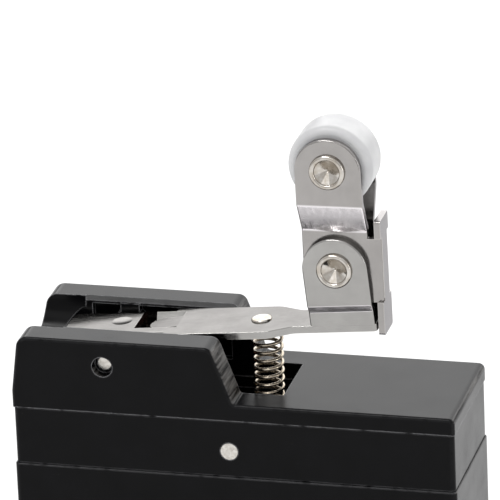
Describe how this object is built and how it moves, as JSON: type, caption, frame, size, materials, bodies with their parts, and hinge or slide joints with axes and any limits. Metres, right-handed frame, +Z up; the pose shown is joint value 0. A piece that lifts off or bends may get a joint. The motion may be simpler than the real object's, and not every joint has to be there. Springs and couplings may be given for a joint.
{
  "type": "limit switch",
  "caption": "Enclosed limit switch with a spring-returned lever and a folding roller arm; snap contacts inside a black case with a terminal cover.",
  "frame": {"origin": "middle of the flat base, under the terminal cover", "axes": "+X along the body towards the roller and cable outlet, +Y towards the rear face, +Z up"},
  "size_m": [0.0512, 0.0162, 0.0677],
  "materials": {
    "case_plastic": "moulded, satin gloss",
    "band_plastic": "moulded, satin gloss",
    "head_plastic": "moulded, satin gloss",
    "rubber": "matte",
    "screw_steel": "zinc plated",
    "pin_steel": "ground",
    "base_resin": "moulded phenolic",
    "terminal_brass": "stamped",
    "contact_silver": "silver alloy",
    "blade_bronze": "rolled spring bronze",
    "plunger_resin": "moulded",
    "guide_brass": "turned",
    "lever_steel": "stamped, bright",
    "arm_steel": "stamped, bright",
    "rivet_nickel": "nickel plated",
    "spring_steel": "drawn wire",
    "roller_nylon": "moulded nylon"
  },
  "bodies": {
    "housing": {"terminal_cover": "case_plastic", "cover_gasket": "rubber", "cover_screws": "screw_steel", "cable_grommet": "rubber", "terminal_case": "case_plastic", "mechanism_case": "band_plastic", "case_pin": "pin_steel", "head_housing": "head_plastic", "contact_base": "base_resin", "common_terminal": "terminal_brass", "normally_open_terminal": "terminal_brass", "normally_closed_terminal": "terminal_brass", "normally_open_contact": "contact_silver", "normally_closed_contact": "contact_silver", "terminal_screws": "screw_steel", "clamp_washers": "screw_steel", "plunger_guide": "guide_brass", "plunger_seal": "rubber", "lever_pivot_pin": "pin_steel", "return_spring": "spring_steel"},
    "lever": {"lever": "lever_steel", "spring_rivet": "rivet_nickel", "arm_pivot_rivet": "rivet_nickel"},
    "arm": {"roller_arm": "arm_steel", "roller_axle": "rivet_nickel", "arm_torsion_spring": "spring_steel"},
    "roller": {"roller": "roller_nylon"},
    "plunger": {"plunger": "plunger_resin"},
    "blade": {"snap_blade": "blade_bronze", "moving_contact": "contact_silver"}
  },
  "joints": [
    {"name": "lever_hinge", "type": "hinge", "parent": "housing", "child": "lever", "pos_m": [-0.0145, 0.00035, 0.04025], "axis": [0, 1, 0], "range_deg": [0, 10], "stiffness_Nm_per_rad": 0.1, "springref_deg": -17.19, "deforming": ["return_spring"]},
    {"name": "arm_fold", "type": "hinge", "parent": "lever", "child": "arm", "pos_m": [0.0108, 0.00035, 0.05103], "axis": [0, -1, 0], "range_deg": [0, 88], "stiffness_Nm_per_rad": 0.004, "springref_deg": -57.3},
    {"name": "roller_spin", "type": "hinge", "parent": "arm", "child": "roller", "pos_m": [0.01059, 0.00035, 0.06291], "axis": [0, 1, 0], "continuous": true},
    {"name": "plunger_slide", "type": "slide", "parent": "housing", "child": "plunger", "axis": [0, 0, -1], "range_m": [0, 0.0009]},
    {"name": "blade_snap", "type": "hinge", "parent": "housing", "child": "blade", "pos_m": [-0.0205, 0, 0.02715], "axis": [0, 1, 0], "range_deg": [0, 4.6]}
  ],
  "couplings": [
    {"joint": "plunger_slide", "follows": "lever_hinge", "m_per_rad": 0.00483},
    {"joint": "blade_snap", "follows": "lever_hinge", "ratio": 0.44}
  ]
}
